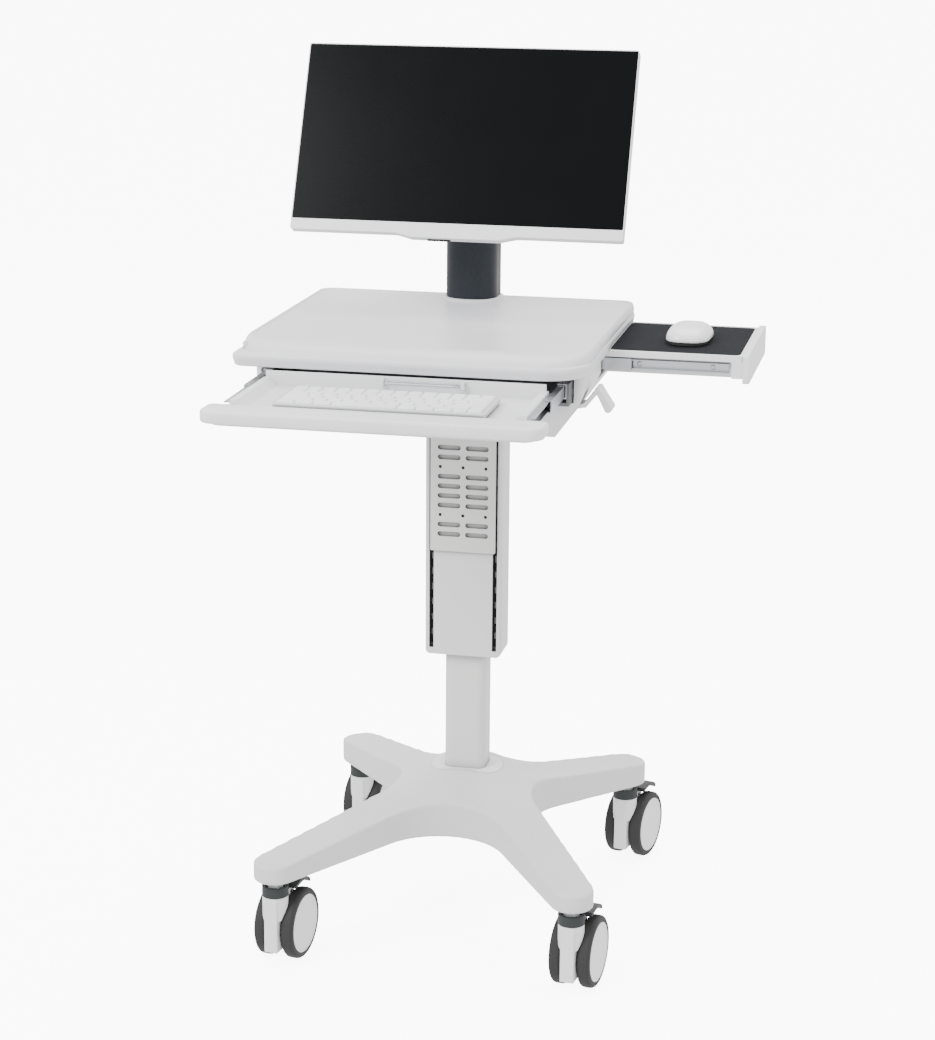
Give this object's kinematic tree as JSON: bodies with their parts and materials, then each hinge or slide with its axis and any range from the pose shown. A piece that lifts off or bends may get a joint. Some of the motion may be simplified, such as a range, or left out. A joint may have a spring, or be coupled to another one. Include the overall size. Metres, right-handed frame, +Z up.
{
  "type": "mobile computer cart",
  "caption": "Ward computer cart with a four-arm caster base, lifting column, accessory bracket, worktop with keyboard drawer and side mouse tray, and a tilting monitor.",
  "frame": {"origin": "on the floor under the column's axis, halfway between the left and right casters", "axes": "+X to the cart's right as seen by the person in front of it, +Y to its back, +Z up"},
  "size_m": [0.6144, 0.8156, 1.1806],
  "materials": {
    "white_plastic": "satin moulded",
    "white_paint": "satin powder coat",
    "base_paint": "satin paint on cast aluminium",
    "slide_steel": "zinc plated",
    "frame_steel": "matte",
    "grey_plastic": "satin",
    "charcoal_plastic": "satin",
    "black_plastic": "fine texture",
    "guide_plastic": "low friction bush",
    "tyre_rubber": "smooth grey",
    "mat": "fine textured",
    "key_plastic": "satin",
    "mouse_plastic": "glossy",
    "screen": "dark panel, switched off"
  },
  "bodies": {
    "base": {"base_star": "base_paint", "foot_cover": "white_plastic", "caster_stems": "slide_steel", "lower_column": "white_paint", "upper_guide": "guide_plastic", "gas_cylinder": "black_plastic"},
    "head": {"upper_column": "white_paint", "lower_guide": "guide_plastic", "gas_rod": "slide_steel", "track_strips": "black_plastic", "head_frame": "frame_steel", "head_housing": "white_plastic", "worktop": "white_plastic", "fixed_slides": "slide_steel", "lever_pin": "slide_steel", "neck_cover": "charcoal_plastic", "neck_core": "frame_steel", "tilt_pin": "slide_steel"},
    "bracket": {"accessory_bracket": "white_paint"},
    "drawer": {"drawer_tray": "white_plastic", "drawer_slides": "slide_steel", "keyboard_case": "key_plastic", "keyboard_keys": "key_plastic"},
    "drawer_middle_members": {"drawer_middle_slides": "slide_steel"},
    "clip": {"keyboard_clip": "slide_steel"},
    "space_key": {"space_bar": "key_plastic"},
    "mouse_drawer": {"mouse_tray": "white_plastic", "mouse_mat": "mat", "tray_end_cover": "white_plastic", "mouse_slides": "slide_steel"},
    "mouse_middle_members": {"mouse_middle_slides": "slide_steel"},
    "mouse": {"mouse_base": "grey_plastic", "mouse_shell": "mouse_plastic"},
    "scroll_wheel": {"mouse_wheel": "charcoal_plastic"},
    "lever": {"height_lever": "white_plastic"},
    "monitor": {"tilt_plate": "frame_steel", "monitor_back": "white_plastic", "monitor_frame": "white_plastic", "screen_panel": "screen"},
    "button_strip": {"monitor_buttons": "black_plastic"},
    "caster_front_left": {"caster_front_left_body": "white_plastic", "caster_front_left_collar": "grey_plastic"},
    "caster_front_left_brake": {"caster_front_left_pedal": "charcoal_plastic"},
    "caster_front_left_wheel_pair": {"caster_front_left_wheels": "white_plastic", "caster_front_left_tyres": "tyre_rubber"},
    "caster_front_right": {"caster_front_right_body": "white_plastic", "caster_front_right_collar": "grey_plastic"},
    "caster_front_right_brake": {"caster_front_right_pedal": "charcoal_plastic"},
    "caster_front_right_wheel_pair": {"caster_front_right_wheels": "white_plastic", "caster_front_right_tyres": "tyre_rubber"},
    "caster_rear_left": {"caster_rear_left_body": "white_plastic", "caster_rear_left_collar": "grey_plastic"},
    "caster_rear_left_brake": {"caster_rear_left_pedal": "charcoal_plastic"},
    "caster_rear_left_wheel_pair": {"caster_rear_left_wheels": "white_plastic", "caster_rear_left_tyres": "tyre_rubber"},
    "caster_rear_right": {"caster_rear_right_body": "white_plastic", "caster_rear_right_collar": "grey_plastic"},
    "caster_rear_right_brake": {"caster_rear_right_pedal": "charcoal_plastic"},
    "caster_rear_right_wheel_pair": {"caster_rear_right_wheels": "white_plastic", "caster_rear_right_tyres": "tyre_rubber"}
  },
  "joints": [
    {"name": "column_lift", "type": "slide", "parent": "base", "child": "head", "axis": [0, 0, 1], "range_m": [-0.13, 0.16]},
    {"name": "bracket_slide", "type": "slide", "parent": "head", "child": "bracket", "axis": [0, 0, 1], "range_m": [-0.125, 0.055]},
    {"name": "drawer_slide", "type": "slide", "parent": "head", "child": "drawer", "axis": [0, -1, 0], "range_m": [-0.176, 0]},
    {"name": "drawer_middle_slide", "type": "slide", "parent": "head", "child": "drawer_middle_members", "axis": [0, -1, 0], "range_m": [-0.088, 0]},
    {"name": "clip_hinge", "type": "hinge", "parent": "drawer", "child": "clip", "pos_m": [0.023, -0.378, 0.815], "axis": [-1, 0, 0], "range_deg": [0, 80]},
    {"name": "space_bar_press", "type": "slide", "parent": "drawer", "child": "space_key", "axis": [0, 0, -1], "range_m": [0, 0.002], "stiffness_N_per_m": 200},
    {"name": "mouse_tray_slide", "type": "slide", "parent": "head", "child": "mouse_drawer", "axis": [1, 0, 0], "range_m": [-0.058, 0]},
    {"name": "mouse_tray_middle_slide", "type": "slide", "parent": "head", "child": "mouse_middle_members", "axis": [1, 0, 0], "range_m": [-0.029, 0]},
    {"name": "mouse_move", "type": "slide", "parent": "mouse_drawer", "child": "mouse", "axis": [0, 1, 0], "range_m": [-0.035, 0.04]},
    {"name": "scroll_wheel_turn", "type": "hinge", "parent": "mouse", "child": "scroll_wheel", "pos_m": [0.303, -0.061, 0.838], "axis": [1, 0, 0], "continuous": true},
    {"name": "lever_pull", "type": "hinge", "parent": "head", "child": "lever", "pos_m": [0.186, -0.283, 0.776], "axis": [0, -1, 0], "range_deg": [0, 12], "stiffness_Nm_per_rad": 1.2},
    {"name": "monitor_tilt", "type": "hinge", "parent": "head", "child": "monitor", "pos_m": [0, -0.02, 1.042], "axis": [1, 0, 0], "range_deg": [-8, 28]},
    {"name": "monitor_buttons_press", "type": "slide", "parent": "monitor", "child": "button_strip", "axis": [0, 0.4187, 0.9081], "range_m": [0, 0.001], "stiffness_N_per_m": 400},
    {"name": "front_left_swivel", "type": "hinge", "parent": "base", "child": "caster_front_left", "pos_m": [-0.197, -0.278, 0.09], "axis": [0, 0, 1], "continuous": true},
    {"name": "front_left_roll", "type": "hinge", "parent": "caster_front_left", "child": "caster_front_left_wheel_pair", "pos_m": [-0.19213, -0.24334, 0.0475], "axis": [0.9903, -0.1392, 0], "continuous": true},
    {"name": "front_left_brake_pedal", "type": "hinge", "parent": "caster_front_left", "child": "caster_front_left_brake", "pos_m": [-0.19269, -0.2473, 0.093], "axis": [-0.9903, 0.1392, 0], "range_deg": [0, 9]},
    {"name": "front_right_swivel", "type": "hinge", "parent": "base", "child": "caster_front_right", "pos_m": [0.197, -0.278, 0.09], "axis": [0, 0, 1], "continuous": true},
    {"name": "front_right_roll", "type": "hinge", "parent": "caster_front_right", "child": "caster_front_right_wheel_pair", "pos_m": [0.20187, -0.24334, 0.0475], "axis": [0.9903, -0.1392, 0], "continuous": true},
    {"name": "front_right_brake_pedal", "type": "hinge", "parent": "caster_front_right", "child": "caster_front_right_brake", "pos_m": [0.20131, -0.2473, 0.093], "axis": [-0.9903, 0.1392, 0], "range_deg": [0, 9]},
    {"name": "rear_left_swivel", "type": "hinge", "parent": "base", "child": "caster_rear_left", "pos_m": [-0.197, 0.175, 0.09], "axis": [0, 0, 1], "continuous": true},
    {"name": "rear_left_roll", "type": "hinge", "parent": "caster_rear_left", "child": "caster_rear_left_wheel_pair", "pos_m": [-0.19092, 0.20947, 0.0475], "axis": [0.9848, -0.1736, 0], "continuous": true},
    {"name": "rear_left_brake_pedal", "type": "hinge", "parent": "caster_rear_left", "child": "caster_rear_left_brake", "pos_m": [-0.19162, 0.20553, 0.093], "axis": [-0.9848, 0.1736, 0], "range_deg": [0, 9]},
    {"name": "rear_right_swivel", "type": "hinge", "parent": "base", "child": "caster_rear_right", "pos_m": [0.197, 0.175, 0.09], "axis": [0, 0, 1], "continuous": true},
    {"name": "rear_right_roll", "type": "hinge", "parent": "caster_rear_right", "child": "caster_rear_right_wheel_pair", "pos_m": [0.20547, 0.20896, 0.0475], "axis": [0.9703, -0.2419, 0], "continuous": true},
    {"name": "rear_right_brake_pedal", "type": "hinge", "parent": "caster_rear_right", "child": "caster_rear_right_brake", "pos_m": [0.2045, 0.20508, 0.093], "axis": [-0.9703, 0.2419, 0], "range_deg": [0, 9]}
  ],
  "couplings": [
    {"joint": "drawer_middle_slide", "follows": "drawer_slide", "ratio": 0.5},
    {"joint": "mouse_tray_middle_slide", "follows": "mouse_tray_slide", "ratio": 0.5}
  ]
}
